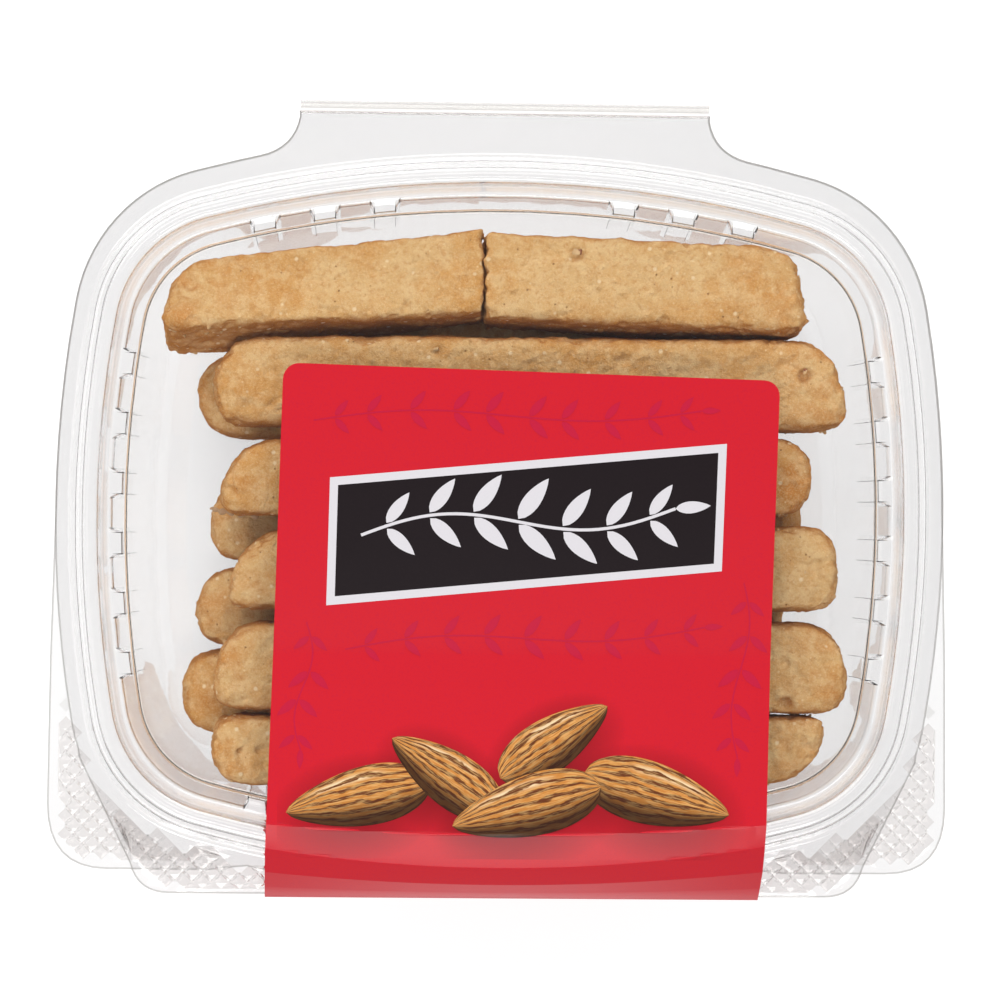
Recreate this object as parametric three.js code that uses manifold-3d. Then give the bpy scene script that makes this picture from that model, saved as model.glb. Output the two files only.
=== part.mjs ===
// A shut, clear hinged food box with two layers of biscotti fingers and a wrap label.
// Millimetres, +Z up. The box lies on its floor with the lid up and the hinge at the back (+Y).

import * as THREE from 'three';
import { mergeVertices } from 'three/addons/utils/BufferGeometryUtils.js';
import Module from 'manifold-3d';

const wasm = await Module();
wasm.setup();

// ---------------------------------------------------------------- driving dimensions

// The plan of the box: four shallow arcs joined by round corners.
const halfWidth = 92.2;
const halfDepth = 78;
const sideRadius = 248;
const endRadius = 247;
const cornerRadius = 33;
const cornerShrink = 0.88; // how much of an inset the corner radius loses

// The formed sheet and the heights it reaches.
const sheet = 0.6;
const clearance = 0.4;
const boxHeight = 54;
const lidFlangeTop = boxHeight - 9.4;
const tubFlangeTop = lidFlangeTop - sheet - clearance;
const panelTop = boxHeight - 3.4;
const ledgeTop = boxHeight - 4.8;
const backReach = 79.8; // how far the flat flange reaches behind and before the middle
const frontReach = 78.4;

// The inner face of the tub wall, from the shoulder under the lid's ledge down to the floor radius.
const wallTop = { inset: 11.2, z: 46 };
const wallMiddle = { inset: 14.1, z: 26 };
const wallFoot = { inset: 18, z: 7.5 };

// The flutes pressed into the tub wall.
const flutePitch = 12.4;
const fluteMouth = 6.2;
const fluteBottom = 4.4;
const fluteDepth = 2.6;
const fluteFade = [1, 0.4, 0.25]; // share of its depth that a flute has at the wall's top, middle and foot
const sideFlutes = [0.5, 1.5, 2.5]; // pitches from the middle of a side
const endFlutes = [2, 3, 4]; // pitches from the middle of the front or the back

// The living hinge at the back and the finger tabs at the front.
const hingeHalfLength = 42.5;
const hingeReach = 86.3;
const hingeFlare = 8;
const hingeRadius = 1.5;
const webRoot = 10; // how far the hinge web starts inside the flange's back edge
const tabHalfWidth = 76;
const tabShoulder = { x: 86.9, y: 50.5 };
const tabCorner = 6;
const cornerTab = { x: 93.3, y: 73.6, back: 2, inner: 60, radius: 9 };

// The wrap label, from the lid panel over the front edge to the tub wall.
const labelWidth = 102.4;
const labelThickness = 0.3;
const labelGap = 0.5;
const labelCentre = 5.9;
const labelLean = THREE.MathUtils.degToRad(1.45);
const labelColumns = 8;
const labelTop = 30;
const labelLift = -28; // where it leaves the panel and starts to rise over the rim
const labelCrest = { from: -65.4, to: -71.8 }; // where it lies on the rim
const labelShoulder = { y: -75.4, drop: 2.4 };
const labelSlope = { y: -77.4, drop: 6.2 };
const labelTuck = 2.5; // how far it runs back under the tub's flange

// The biscuits. Each end of a finger gives its place, its width, how far its back side reaches
// beyond its middle (slant) and how far the finger is rolled over there, in degrees.
const underLayer = { floor: 0.95, height: 19.4 };
const topLayer = { floor: 20.3, height: 19.2 };
const underFingers = [
  { left: { x: -54, y: 44.4, width: 17.4 }, right: { x: 56, y: 44.4, width: 17.4 } },
  { left: { x: -65.2, y: 25.4, width: 17.6 }, right: { x: 61, y: 25.2, width: 17.8 } },
  { left: { x: -61.7, y: -1.2, width: 18, slant: 1.5 }, right: { x: 66.2, y: -0.6, width: 18 } },
  { left: { x: -64.4, y: -19.8, width: 17.4, slant: 1 }, right: { x: 62.8, y: -19.6, width: 17.6 } },
  { left: { x: -67.4, y: -38.2, width: 18 }, right: { x: 60, y: -38.2, width: 18.2 } },
];
const topFingers = [
  { left: { x: -59.4, y: 27.9, width: 18.8, slant: 2.4 }, right: { x: 71.9, y: 28.3, width: 19, slant: -2 } },
  { left: { x: -57.6, y: 7.6, width: 16.8, slant: 3 }, right: { x: 65.8, y: 8.9, width: 17 } },
  { left: { x: -55.2, y: -11.4, width: 17.2, slant: 2.6 }, right: { x: 71.6, y: -10.2, width: 18, slant: -1 } },
  { left: { x: -59.3, y: -31.9, width: 18.8, slant: 1.4 }, right: { x: 73, y: -31.2, width: 19.2, slant: -1.2 } },
  { left: { x: -60.2, y: -49.9, width: 15.4 }, right: { x: 66.8, y: -48.7, width: 13.8, slant: 4 } },
];
const brokenLeft = {
  left: { x: -70.2, y: 45.2, width: 16.4, slant: 2.6, roll: -17, lift: 1.2 },
  right: { x: -4.4, y: 50.7, width: 19, roll: -6, lift: 0.7, broken: true },
};
const brokenRight = {
  left: { x: -3.3, y: 49.8, width: 19.2, roll: -6, lift: 0.7, broken: true },
  right: { x: 62.8, y: 48, width: 18.4, slant: -1.8, roll: -5, lift: 0.7 },
};

// ---------------------------------------------------------------- materials

const clearPlastic = new THREE.MeshStandardMaterial({
  color: 0xeef1f0,
  roughness: 0.08,
  metalness: 0,
  transparent: true,
  opacity: 0.3,
});
const labelPaper = new THREE.MeshStandardMaterial({ color: 0xe42c38, roughness: 0.35, metalness: 0 });
const bakedDough = new THREE.MeshStandardMaterial({ color: 0xd0a064, roughness: 0.9, metalness: 0 });

// ---------------------------------------------------------------- closed meshes

// Joins closed rings of equal length into a body, with a flat cap on the first and the last.
// Rings run anticlockwise seen from the first cap.
function loftRings(rings) {
  const count = rings[0].length;
  const points = rings.flat();
  const index = [];
  for (let r = 0; r + 1 < rings.length; r += 1) {
    for (let i = 0; i < count; i += 1) {
      const a = r * count + i;
      const b = r * count + ((i + 1) % count);
      index.push(a, a + count, b);
      index.push(b, a + count, b + count);
    }
  }
  const last = (rings.length - 1) * count;
  for (let i = 1; i + 1 < count; i += 1) {
    index.push(0, i, i + 1);
    index.push(last, last + i + 1, last + i);
  }
  return new THREE.BufferGeometry().setFromPoints(points).setIndex(index);
}

function toSolid(geometry) {
  const bare = geometry.clone();
  bare.deleteAttribute('normal');
  bare.deleteAttribute('uv');
  const merged = mergeVertices(bare, 1e-4);
  return new wasm.Manifold(
    new wasm.Mesh({
      numProp: 3,
      vertProperties: new Float32Array(merged.attributes.position.array),
      triVerts: new Uint32Array(merged.index.array),
    }),
  );
}

function toGeometry(solid) {
  const mesh = solid.getMesh();
  const geometry = new THREE.BufferGeometry();
  geometry.setAttribute('position', new THREE.BufferAttribute(new Float32Array(mesh.vertProperties), 3));
  geometry.setIndex(new THREE.BufferAttribute(new Uint32Array(mesh.triVerts), 1));
  geometry.computeVertexNormals();
  return geometry;
}

// ---------------------------------------------------------------- the plan outline

// The corner arc that touches the side arc and the end arc of a plan inset by the given amount.
function cornerArc(inset) {
  const side = { x: halfWidth - sideRadius, y: 0 };
  const end = { x: 0, y: halfDepth - endRadius };
  const radius = cornerRadius - cornerShrink * inset;
  const toSide = sideRadius - inset - radius;
  const toEnd = endRadius - inset - radius;
  const gap = Math.hypot(end.x - side.x, end.y - side.y);
  const along = (toSide ** 2 - toEnd ** 2 + gap ** 2) / (2 * gap);
  const off = Math.sqrt(toSide ** 2 - along ** 2);
  const dx = (end.x - side.x) / gap;
  const dy = (end.y - side.y) / gap;
  const x = side.x + dx * along - dy * off;
  const y = side.y + dy * along + dx * off;
  return {
    x,
    y,
    radius,
    start: Math.atan2(y - side.y, x - side.x),
    finish: Math.atan2(y - end.y, x - end.x),
  };
}

// A point of the plan: on a side at a given y, on an end at a given x, or part way round a corner.
function planPoint(sample, inset) {
  if (sample.on === 'side') {
    const radius = sideRadius - inset;
    return [halfWidth - sideRadius + Math.sqrt(radius ** 2 - sample.at ** 2), sample.at];
  }
  if (sample.on === 'end') {
    const radius = endRadius - inset;
    return [sample.at, halfDepth - endRadius + Math.sqrt(radius ** 2 - sample.at ** 2)];
  }
  const arc = cornerArc(inset);
  const angle = THREE.MathUtils.lerp(arc.start, arc.finish, sample.at);
  return [arc.x + arc.radius * Math.cos(angle), arc.y + arc.radius * Math.sin(angle)];
}

// A whole ring at one height: a quarter, mirrored round the box, inset deeper where a flute lies.
function planRing(quarter, inset, z, flute = 0) {
  const corner = quarter.map((sample) => planPoint(sample, inset + (sample.flute ? flute : 0)));
  const back = [...corner].reverse();
  return [
    ...corner.map(([x, y]) => new THREE.Vector3(x, y, z)),
    ...back.map(([x, y]) => new THREE.Vector3(-x, y, z)),
    ...corner.map(([x, y]) => new THREE.Vector3(-x, -y, z)),
    ...back.map(([x, y]) => new THREE.Vector3(x, -y, z)),
  ];
}

const cornerSamples = [0, 1 / 6, 2 / 6, 3 / 6, 4 / 6, 5 / 6, 1].map((at) => ({ on: 'corner', at }));

const smoothQuarter = [
  ...[5, 17, 29].map((at) => ({ on: 'side', at })),
  ...cornerSamples,
  ...[51, 37, 22, 7].map((at) => ({ on: 'end', at })),
];

function fluteSamples(on, centres) {
  return centres.flatMap((pitches) => {
    const centre = pitches * flutePitch;
    return [
      { on, at: centre - fluteMouth / 2 },
      { on, at: centre - fluteBottom / 2, flute: true },
      { on, at: centre + fluteBottom / 2, flute: true },
      { on, at: centre + fluteMouth / 2 },
    ];
  });
}

const flutedQuarter = [
  ...fluteSamples('side', sideFlutes),
  ...cornerSamples,
  ...fluteSamples('end', endFlutes).reverse(),
  { on: 'end', at: 8 },
];

// ---------------------------------------------------------------- the clamshell

// The underside of a sheet whose upper side is the given section, square to the sheet. The sheet
// lies flat beyond both ends of the section.
function sheetUnderside(section) {
  const flat = new THREE.Vector2(0, -1);
  const normals = section.slice(1).map((point, i) => {
    const along = new THREE.Vector2(point.inset - section[i].inset, point.z - section[i].z).normalize();
    return new THREE.Vector2(along.y, -along.x);
  });
  return section.map((point, i) => {
    const before = i === 0 ? flat : normals[i - 1];
    const after = i === section.length - 1 ? flat : normals[i];
    const bisector = before.clone().add(after).normalize();
    const step = sheet / bisector.dot(after);
    return { ...point, inset: point.inset + bisector.x * step, z: point.z + bisector.y * step };
  });
}

// A formed tray from a section that runs from the flange in to the middle, where it is flat.
function formedTray(section, quarter) {
  const upper = [...section].reverse();
  const under = sheetUnderside(section);
  return toSolid(loftRings([...upper, ...under].map((p) => planRing(quarter, p.inset, p.z, p.flute))));
}

function plate(shape, top) {
  const geometry = new THREE.ExtrudeGeometry(shape, { depth: sheet, bevelEnabled: false, curveSegments: 6 });
  geometry.translate(0, 0, top - sheet);
  return toSolid(geometry);
}

// The flat flange ring round the rim, its hole closed by the formed tray.
function flangeRing(top, bore) {
  const outer = planRing(smoothQuarter, 0, 0).map(({ x, y }) => {
    const reach = y > 0 ? backReach : frontReach;
    return new THREE.Vector2(x, (y * reach) / halfDepth);
  });
  const shape = new THREE.Shape(outer);
  shape.holes.push(new THREE.Path(planRing(smoothQuarter, bore, 0).map((p) => new THREE.Vector2(p.x, p.y))));
  return plate(shape, top);
}

function withoutRim(solid, bore) {
  const hole = new THREE.Shape(planRing(smoothQuarter, bore, 0).map((p) => new THREE.Vector2(p.x, p.y)));
  const depth = 3 * sheet;
  const cutter = new THREE.ExtrudeGeometry(hole, { depth, bevelEnabled: false });
  cutter.translate(0, 0, solid.boundingBox().min[2] - sheet);
  return solid.subtract(toSolid(cutter));
}

// The web that runs from a flange back to the hinge, flared where it leaves the flange.
function hingeWeb(top) {
  const root = backReach - webRoot;
  const flareEnd = backReach - webRoot / 2;
  const flarePull = backReach - webRoot / 3;
  const neckEnd = hingeReach - 2 * hingeRadius;
  const back = hingeReach - 2 * sheet;
  const wide = hingeHalfLength + hingeFlare;
  const narrow = hingeHalfLength + 1;
  const shape = new THREE.Shape();
  shape.moveTo(-wide, root);
  shape.lineTo(wide, root);
  shape.lineTo(wide, flareEnd);
  shape.quadraticCurveTo(narrow, flarePull, hingeHalfLength, neckEnd);
  shape.lineTo(hingeHalfLength, back);
  shape.lineTo(-hingeHalfLength, back);
  shape.lineTo(-hingeHalfLength, neckEnd);
  shape.quadraticCurveTo(-narrow, flarePull, -wide, flareEnd);
  return plate(shape, top);
}

// The fold of the living hinge: a round-backed C that joins the two webs.
function hingeFold() {
  const middle = (lidFlangeTop + tubFlangeTop - sheet) / 2;
  const centre = hingeReach - hingeRadius;
  const opening = Math.asin((clearance / 2 + sheet) / hingeRadius);
  const shape = new THREE.Shape();
  shape.absarc(centre, middle, hingeRadius, -Math.PI + opening, Math.PI - opening, false);
  shape.absarc(centre, middle, hingeRadius - sheet, Math.PI - opening, -Math.PI + opening, true);
  const depth = 2 * hingeHalfLength;
  const geometry = new THREE.ExtrudeGeometry(shape, { depth, bevelEnabled: false, curveSegments: 12 });
  // The section is drawn in Y and Z, so the extrusion is turned to run along X.
  geometry.applyMatrix4(new THREE.Matrix4().set(0, 0, 1, -hingeHalfLength, 1, 0, 0, 0, 0, 1, 0, 0, 0, 0, 0, 1));
  return toSolid(geometry);
}

// The wide tab at the middle of the lid's front edge.
function frontTab() {
  const front = -frontReach;
  const pull = tabHalfWidth - 2;
  const shape = new THREE.Shape();
  shape.moveTo(-tabShoulder.x, -tabShoulder.y);
  shape.lineTo(-tabHalfWidth, front + tabCorner);
  shape.quadraticCurveTo(-pull, front, -pull + tabCorner, front);
  shape.lineTo(pull - tabCorner, front);
  shape.quadraticCurveTo(pull, front, tabHalfWidth, front + tabCorner);
  shape.lineTo(tabShoulder.x, -tabShoulder.y);
  return plate(shape, lidFlangeTop);
}

// One of the two rounded tabs at the front corners of the tub's flange.
function tubCornerTab(side) {
  const { x, y, back, inner, radius } = cornerTab;
  const shape = new THREE.Shape();
  shape.moveTo(side * x, -back);
  shape.lineTo(side * x, -y + radius);
  shape.quadraticCurveTo(side * x, -y, side * (x - radius), -y);
  shape.lineTo(side * inner, -y);
  shape.lineTo(side * inner, -back);
  return plate(shape, tubFlangeTop);
}

// The lid from its flange over the rim and down to the ledge, and up again to the panel.
const lidBore = 2.6;
const lidSection = [
  { inset: 1.4, z: lidFlangeTop },
  { inset: lidBore, z: lidFlangeTop },
  { inset: 5.2, z: boxHeight - 0.8 },
  { inset: 6.2, z: boxHeight },
  { inset: 9, z: boxHeight },
  { inset: 10, z: boxHeight - 0.7 },
  { inset: 10.9, z: ledgeTop },
  { inset: 14.4, z: ledgeTop },
  { inset: 15.4, z: panelTop },
];

// The tub from its flange over its own rim, under the lid's, and down the fluted wall to the floor.
const tubBore = 3.8;
const tubRim = boxHeight - sheet - clearance;
const tubSection = [
  { inset: 2.6, z: tubFlangeTop },
  { inset: tubBore, z: tubFlangeTop },
  { inset: 6.3, z: tubRim - 0.6 },
  { inset: 7.1, z: tubRim },
  { inset: 8.2, z: tubRim },
  { inset: 9, z: tubRim - 0.8 },
  { inset: 9.9, z: wallTop.z + 0.7 },
  { ...wallTop, flute: fluteDepth * fluteFade[0] },
  { ...wallMiddle, flute: fluteDepth * fluteFade[1] },
  { ...wallFoot, flute: fluteDepth * fluteFade[2] },
  { inset: wallFoot.inset + 2.2, z: 3.2 },
  { inset: wallFoot.inset + 6.2, z: sheet },
];

function clamshell() {
  const lidFlange = flangeRing(lidFlangeTop, lidBore).add(hingeWeb(lidFlangeTop));
  const tubFlange = flangeRing(tubFlangeTop, tubBore).add(hingeWeb(tubFlangeTop));
  const lidPlates = withoutRim(lidFlange.add(frontTab()), lidBore);
  const tubPlates = withoutRim(tubFlange.add(tubCornerTab(-1)).add(tubCornerTab(1)), tubBore);
  const lid = lidPlates.add(formedTray(lidSection, smoothQuarter));
  const tub = tubPlates.add(formedTray(tubSection, flutedQuarter));
  return lid.add(tub).add(hingeFold());
}

// ---------------------------------------------------------------- the wrap label

// A thin closed body on a grid of points, thickened to the left of each row's direction of travel.
function sheetSolid(grid, thickness) {
  const rows = grid.length;
  const columns = grid[0].length;
  const normalAt = (r, c) => {
    const down = grid[Math.min(r + 1, rows - 1)][c].clone().sub(grid[Math.max(r - 1, 0)][c]);
    const across = grid[r][Math.min(c + 1, columns - 1)].clone().sub(grid[r][Math.max(c - 1, 0)]);
    return down.cross(across).normalize();
  };
  const inner = grid.flat();
  const outer = grid.flatMap((row, r) => row.map((p, c) => p.clone().addScaledVector(normalAt(r, c), thickness)));
  const index = [];
  const total = rows * columns;
  for (let r = 0; r + 1 < rows; r += 1) {
    for (let c = 0; c + 1 < columns; c += 1) {
      const a = r * columns + c;
      const b = a + 1;
      const d = a + columns;
      const e = d + 1;
      index.push(a, b, d, b, e, d);
      index.push(total + a, total + d, total + b, total + b, total + d, total + e);
    }
  }
  const wall = (a, b) => index.push(a, total + a, b, b, total + a, total + b);
  for (let c = 0; c + 1 < columns; c += 1) {
    wall(c, c + 1);
    wall((rows - 1) * columns + c + 1, (rows - 1) * columns + c);
  }
  for (let r = 0; r + 1 < rows; r += 1) {
    wall((r + 1) * columns, r * columns);
    wall(r * columns + columns - 1, (r + 1) * columns + columns - 1);
  }
  const geometry = new THREE.BufferGeometry().setFromPoints([...inner, ...outer]).setIndex(index);
  geometry.computeVertexNormals();
  return geometry;
}

// Stations down the middle of the label's inner face. bow is how much of the rim's curve the
// station follows, so that the fold over the rim is bowed and the fold over the tab is straight.
function labelStations() {
  const onWall = (point) => -(halfDepth - point.inset + sheet + labelGap);
  const rest = panelTop + labelGap;
  const crest = boxHeight + labelGap;
  const edge = -(frontReach + labelGap);
  const under = tubFlangeTop - sheet - labelGap;
  return [
    { y: labelTop, z: rest, bow: 0, edge: true },
    { y: labelLift, z: rest, bow: 0 },
    { y: labelCrest.from, z: crest, bow: 0.45 },
    { y: labelCrest.to, z: crest, bow: 1 },
    { y: labelShoulder.y, z: boxHeight - labelShoulder.drop, bow: 0.6 },
    { y: labelSlope.y, z: boxHeight - labelSlope.drop, bow: 0.2 },
    { y: edge, z: lidFlangeTop, bow: 0 },
    { y: edge, z: under, bow: 0 },
    { y: edge + labelTuck, z: under - labelTuck / 2, bow: 0.1 },
    { y: onWall(wallMiddle) - 1, z: wallMiddle.z + 4, bow: 1 },
    { y: onWall(wallMiddle), z: wallMiddle.z, bow: 1 },
    { y: onWall(wallFoot), z: wallFoot.z, bow: 1 },
  ];
}

function wrapLabel() {
  let run = 0;
  const stations = labelStations();
  const grid = stations.map((station, i) => {
    const before = stations[Math.max(i - 1, 0)];
    run += Math.hypot(station.y - before.y, station.z - before.z);
    const row = [];
    for (let c = 0; c <= labelColumns; c += 1) {
      const across = (c / labelColumns - 0.5) * labelWidth;
      const x = labelCentre - run * Math.tan(labelLean) + across;
      const lean = station.edge ? -across * Math.tan(labelLean) : 0;
      const bow = (station.bow * x * x) / (2 * endRadius);
      row.push(new THREE.Vector3(x, station.y + lean + bow, station.z));
    }
    return row;
  });
  return sheetSolid(grid, labelThickness);
}

// ---------------------------------------------------------------- the biscuits

function seededRandom(seed) {
  let state = seed;
  return () => {
    state = (state * 1664525 + 1013904223) % 4294967296;
    return state / 4294967296;
  };
}

// How far the section has grown at a distance from a baked end. A broken end is full size at once.
const endRound = [
  { from: 0, grown: 0.62 },
  { from: 1.4, grown: 0.82 },
  { from: 4.5, grown: 0.95 },
  { from: 10, grown: 1 },
];
const brokenRound = [
  { from: 0, grown: 0.96 },
  { from: 3, grown: 1 },
];
const sectionSides = 16;
const squareness = 3.1; // power of the rounded-square section
const flatFoot = 0.93; // where the underside is cut flat, as a share of half the height
const fullness = 0.98;
const swellDepth = 0.015; // slow waves along a finger
const swayDepth = 0.2;
const roughness = 0.025; // how far single corners of the section fall short
const jagDepth = 0.35; // unevenness of the end faces
const slantReach = 10; // how far along the finger an end's slant dies out

// One corner of the rounded-square section of a finger, in half widths and half heights.
function sectionCorner(angle) {
  const c = Math.cos(angle);
  const s = Math.sin(angle);
  const reach = (Math.abs(c) ** squareness + Math.abs(s) ** squareness) ** (-1 / squareness);
  return { across: c * reach, up: s * reach };
}

// A baked finger from its left end to its right end, about its middle, with uneven sides.
function finger(row, layer, seed) {
  const random = seededRandom(seed);
  const { left, right } = row;
  const length = right.x - left.x;
  const mix = (key, t) => THREE.MathUtils.lerp(left[key] ?? 0, right[key] ?? 0, t);
  const leftRound = left.broken ? brokenRound : endRound;
  const rightRound = right.broken ? brokenRound : endRound;
  const stations = [
    ...leftRound.map(({ from, grown }) => ({ x: from, grown })),
    ...[0.3, 0.5, 0.7].map((t) => ({ x: t * length, grown: 1 })),
    ...[...rightRound].reverse().map(({ from, grown }) => ({ x: length - from, grown })),
  ];
  const phase = random() * Math.PI * 2;
  const rings = stations.map(({ x, grown }) => {
    const t = x / length;
    const sway = swayDepth * Math.sin(phase + t * 5) + mix('y', t) - mix('y', 0.5);
    const swell = grown * (fullness - swellDepth + swellDepth * Math.sin(phase * 2 + t * 9));
    const roll = THREE.MathUtils.degToRad(mix('roll', t));
    const leftSlant = (left.slant ?? 0) * Math.max(0, 1 - x / slantReach);
    const rightSlant = (right.slant ?? 0) * Math.max(0, 1 - (length - x) / slantReach);
    const ring = [];
    for (let i = 0; i < sectionSides; i += 1) {
      const { across, up } = sectionCorner((i / sectionSides) * Math.PI * 2);
      const rough = swell * (1 - roughness * random());
      const y = across * rough * (mix('width', t) / 2);
      const z = Math.max(up * rough, -flatFoot * grown) * (layer.height / 2);
      const jag = x === 0 || x === length ? jagDepth * (random() - 0.5) : 0;
      const along = x - length / 2 + jag + across * (leftSlant + rightSlant);
      const turnedY = y * Math.cos(roll) - z * Math.sin(roll) + sway;
      const turnedZ = y * Math.sin(roll) + z * Math.cos(roll) + mix('lift', t);
      ring.push(new THREE.Vector3(along, turnedY, turnedZ));
    }
    return ring;
  });
  const geometry = loftRings(rings.reverse());
  geometry.computeVertexNormals();
  return geometry;
}

function fingerMesh(name, row, layer, seed) {
  const mesh = new THREE.Mesh(finger(row, layer, seed), bakedDough.clone());
  mesh.name = name;
  const middle = { x: (row.left.x + row.right.x) / 2, y: (row.left.y + row.right.y) / 2 };
  mesh.position.set(middle.x, middle.y, layer.floor + flatFoot * (layer.height / 2));
  return mesh;
}

// ---------------------------------------------------------------- the pack

const pack = new THREE.Group();
// The origin is under the middle of the whole pack, from the hinge fold to the label's front.
pack.position.y = (frontReach + labelGap + labelThickness - hingeReach) / 2;

const box = new THREE.Mesh(toGeometry(clamshell()), clearPlastic);
box.name = 'clamshell';
pack.add(box);

const label = new THREE.Mesh(wrapLabel(), labelPaper);
label.name = 'label';
pack.add(label);

underFingers.forEach((row, i) => pack.add(fingerMesh(`under_biscuit_${i + 1}`, row, underLayer, 11 + i)));
pack.add(fingerMesh('biscuit_1_left', brokenLeft, topLayer, 31));
pack.add(fingerMesh('biscuit_1_right', brokenRight, topLayer, 32));
topFingers.forEach((row, i) => pack.add(fingerMesh(`biscuit_${i + 2}`, row, topLayer, 41 + i)));

export default pack;
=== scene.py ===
import random
from math import asin, atan2, cos, hypot, pi, radians, sin, sqrt, tan

import bmesh
import bpy
from mathutils import Matrix, Vector


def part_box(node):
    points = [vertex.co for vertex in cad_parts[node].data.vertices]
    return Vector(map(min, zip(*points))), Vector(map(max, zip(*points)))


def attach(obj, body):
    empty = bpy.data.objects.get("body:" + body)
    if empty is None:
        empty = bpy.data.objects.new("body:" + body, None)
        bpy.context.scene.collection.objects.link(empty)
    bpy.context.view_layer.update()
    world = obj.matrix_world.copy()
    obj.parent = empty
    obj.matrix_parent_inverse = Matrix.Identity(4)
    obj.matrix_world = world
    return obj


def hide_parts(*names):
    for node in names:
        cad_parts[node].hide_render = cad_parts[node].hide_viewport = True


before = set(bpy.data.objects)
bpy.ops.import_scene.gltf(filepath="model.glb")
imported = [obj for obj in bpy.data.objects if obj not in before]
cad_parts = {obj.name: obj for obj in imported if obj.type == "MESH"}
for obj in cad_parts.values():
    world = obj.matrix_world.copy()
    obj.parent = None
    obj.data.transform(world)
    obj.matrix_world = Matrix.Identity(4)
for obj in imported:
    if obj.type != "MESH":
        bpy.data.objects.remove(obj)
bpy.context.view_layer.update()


# ------------------------------------------------------------------------------
# The studio. A glowing white table, a large soft lamp beyond the hinge end, a weak one at the
# left, a strip above the front edge, and a grey room that the clear plastic mirrors along its
# bends. The camera looks down on the lid.

hinge_reach = 0.0863
lid_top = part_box("clamshell")[1].z
box_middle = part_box("clamshell")[1].y - hinge_reach
camera_height = 0.700
camera_stand = Vector((-0.0240, box_middle - 0.0001))
camera_aim = Vector((-0.0006, box_middle + 0.0035))
camera_roll = radians(0.6)
camera_lens = 123
table_gap = 0.0002


def set_all(thing, settings):
    for key, value in settings.items():
        setattr(thing, key, value)


def add_node(tree, kind, feeds=(), **settings):
    """A shader node with these settings, its inputs fed by other sockets or by plain values."""
    node = tree.nodes.new(kind)
    set_all(node, settings)
    for name, value in dict(feeds).items():
        if isinstance(value, bpy.types.NodeSocket):
            tree.links.new(value, node.inputs[name])
        else:
            node.inputs[name].default_value = value
    return node


def plain_material(name, colour, roughness, others=()):
    """A material of one colour, with any other inputs that its shader needs."""
    material = bpy.data.materials.new(name)
    material.use_nodes = True
    inputs = {"Base Color": (*colour, 1), "Roughness": roughness, **dict(others)}
    for socket, value in inputs.items():
        material.node_tree.nodes["Principled BSDF"].inputs[socket].default_value = value
    return material


def add_camera():
    aim = Vector((*camera_aim, lid_top))
    stand = Vector((*camera_stand, lid_top + camera_height))
    back = (stand - aim).normalized()
    right = Vector((0, 1, 0)).cross(back).normalized()
    look = Matrix((right, back.cross(right), back)).transposed()
    look = look @ Matrix.Rotation(camera_roll, 3, "Z")
    bpy.ops.object.camera_add(location=stand, rotation=look.to_euler())
    camera = bpy.context.object
    camera.data.lens = camera_lens
    bpy.context.scene.camera = camera


def add_softbox(name, spot, width, depth, power, colour):
    turn = (Vector((0, 0, lid_top)) - Vector(spot)).to_track_quat("-Z", "Y").to_euler()
    bpy.ops.object.light_add(type="AREA", location=spot, rotation=turn)
    lamp = bpy.context.object
    lamp.name = name
    set_all(lamp.data, {
        "shape": "RECTANGLE", "size": width, "size_y": depth, "energy": power, "color": colour,
    })


def add_room():
    """A light tent: bright and a little warm round the horizon, greyer overhead."""
    world = bpy.data.worlds.new("room")
    world.use_nodes = True
    tree = world.node_tree
    place = add_node(tree, "ShaderNodeTexCoord")
    split = add_node(tree, "ShaderNodeSeparateXYZ", {0: place.outputs["Generated"]})
    ramp = add_node(tree, "ShaderNodeValToRGB", {0: split.outputs["Z"]})
    ramp.color_ramp.elements[0].color = (0.74, 0.69, 0.65, 1)
    ramp.color_ramp.elements[1].color = (0.20, 0.20, 0.21, 1)
    ramp.color_ramp.elements.new(0.30).color = (0.85, 0.84, 0.83, 1)
    tree.links.new(ramp.outputs[0], tree.nodes["Background"].inputs["Color"])
    tree.nodes["Background"].inputs["Strength"].default_value = 0.85
    bpy.context.scene.world = world


add_camera()
add_room()
add_softbox("hinge_side_lamp", (-0.18, 0.90, 1.02), 1.8, 0.8, 13.5, (1, 0.99, 0.97))
add_softbox("left_lamp", (-0.95, -0.1, 0.6), 0.6, 0.8, 1.5, (1, 1, 1))
add_softbox("front_strip", (0.0, -0.50, 1.30), 0.70, 0.34, 4.5, (1, 0.99, 0.97))
bpy.context.scene.view_settings.view_transform = "Standard"
bpy.context.scene.cycles.max_bounces = 24
bpy.context.scene.cycles.glossy_bounces = 16
bpy.context.scene.cycles.transmission_bounces = 24

bpy.ops.mesh.primitive_plane_add(size=6, location=(0, 0, -table_gap))
table = bpy.context.object
table.name = "table"
table.data.materials.append(plain_material(
    "white_table", (0.30, 0.30, 0.30), 0.9,
    {"Emission Color": (1, 1, 1, 1), "Emission Strength": 0.82},
))


# ------------------------------------------------------------------------------
# The clamshell: one clear PET sheet, a third of a millimetre thick, vacuum formed into a fluted
# tub and a lid with a raised rim and a sunk panel, and folded over at the hinge. The tabs at the
# front are embossed with small pyramids to give a grip.

sheet = 0.00032
half_width = 0.0922
half_depth = 0.078
side_radius = 0.248
end_radius = 0.247
corner_radius = 0.033
corner_shrink = 0.88
back_reach = 0.0798
front_reach = 0.0784
lid_level = lid_top - 0.0097
tub_level = lid_level - 0.001
ledge_level = lid_top - 0.0050
panel_height = lid_top - 0.0036

flute_pitch = 0.0124
flute_mouth = 0.0062
flute_bottom = 0.0044
flute_depth = 0.0026
side_flutes = (0.5, 1.5, 2.5)
end_flutes = (2, 3, 4)

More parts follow.
